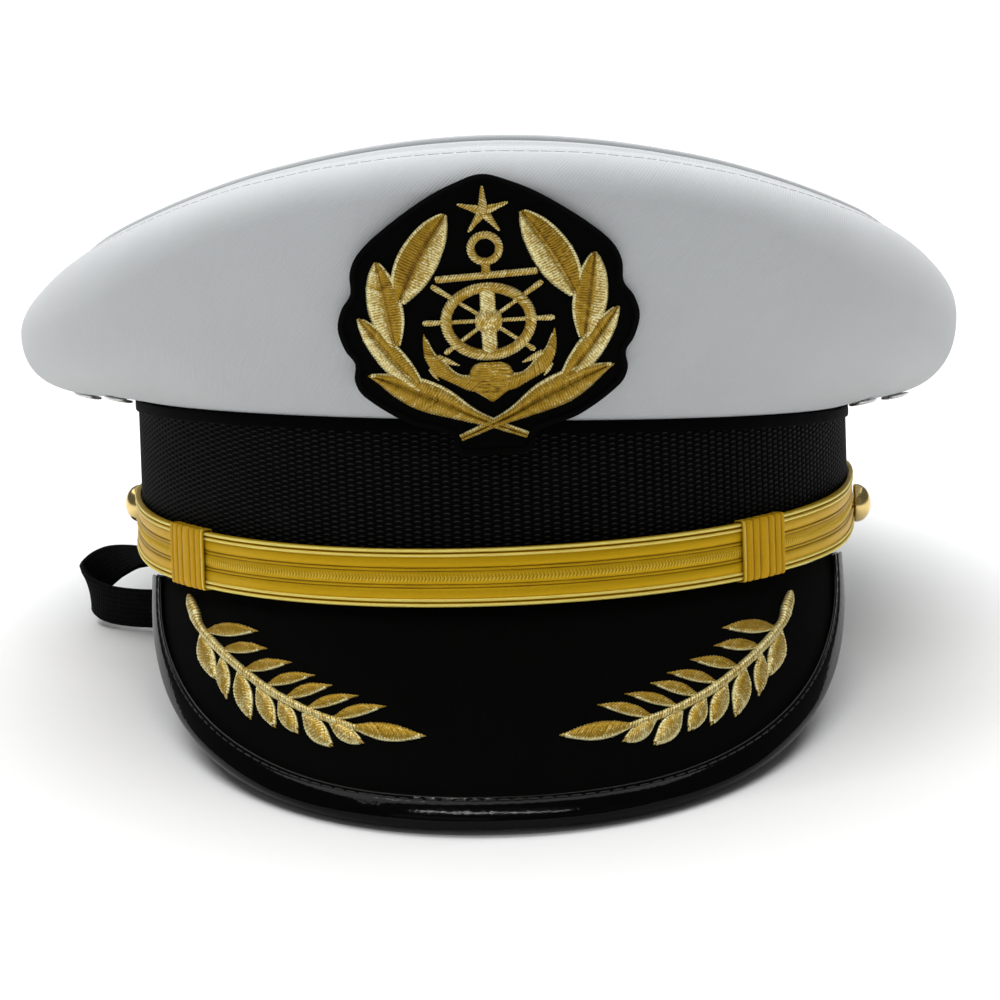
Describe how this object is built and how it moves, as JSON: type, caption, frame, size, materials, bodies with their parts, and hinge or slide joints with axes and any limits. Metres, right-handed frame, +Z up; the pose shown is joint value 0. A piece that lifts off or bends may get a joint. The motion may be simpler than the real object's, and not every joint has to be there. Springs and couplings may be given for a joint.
{
  "type": "peaked cap",
  "caption": "White captain's peaked cap with a black band, gold chin strap, gold nautical badge on the front and gold leaf sprays on its black peak.",
  "frame": {"origin": "on the surface the cap stands on, under the middle of its bounding box", "axes": "-Y is the cap's front, +X is its wearer's left, +Z is up; the cap leans back onto its peak and the back of its band"},
  "size_m": [0.23, 0.2756, 0.1428],
  "materials": {
    "cloth_white": "white cotton twill with fine diagonal ribs",
    "webbing_black": "black ribbed webbing, matte",
    "felt_black": "black felt, matte",
    "binding_black": "black coated binding, glossy",
    "braid_gold": "gold braid with bright wire edges",
    "thread_gold": "gold embroidery thread, satin",
    "metal_gold": "gilt, polished",
    "metal_silver": "nickel plate, polished",
    "elastic_black": "black woven elastic, matte"
  },
  "bodies": {
    "root": {"crown_top": "cloth_white", "crown_side": "cloth_white", "crown_welt": "cloth_white", "eyelet_right_front": "metal_silver", "eyelet_right_side": "metal_silver", "eyelet_left_front": "metal_silver", "eyelet_left_side": "metal_silver", "band": "webbing_black", "band_edging": "webbing_black", "chin_strap": "braid_gold", "keeper_right": "braid_gold", "keeper_left": "braid_gold", "button_right": "metal_gold", "button_left": "metal_gold", "peak_board": "felt_black", "peak_binding": "binding_black", "peak_spray_right": "thread_gold", "peak_spray_left": "thread_gold", "badge_patch": "felt_black", "badge_star": "thread_gold", "badge_anchor_head": "thread_gold", "badge_wheel": "thread_gold", "badge_anchor_arms": "thread_gold", "badge_wreath": "thread_gold", "elastic_strap": "elastic_black"}
  },
  "joints": []
}
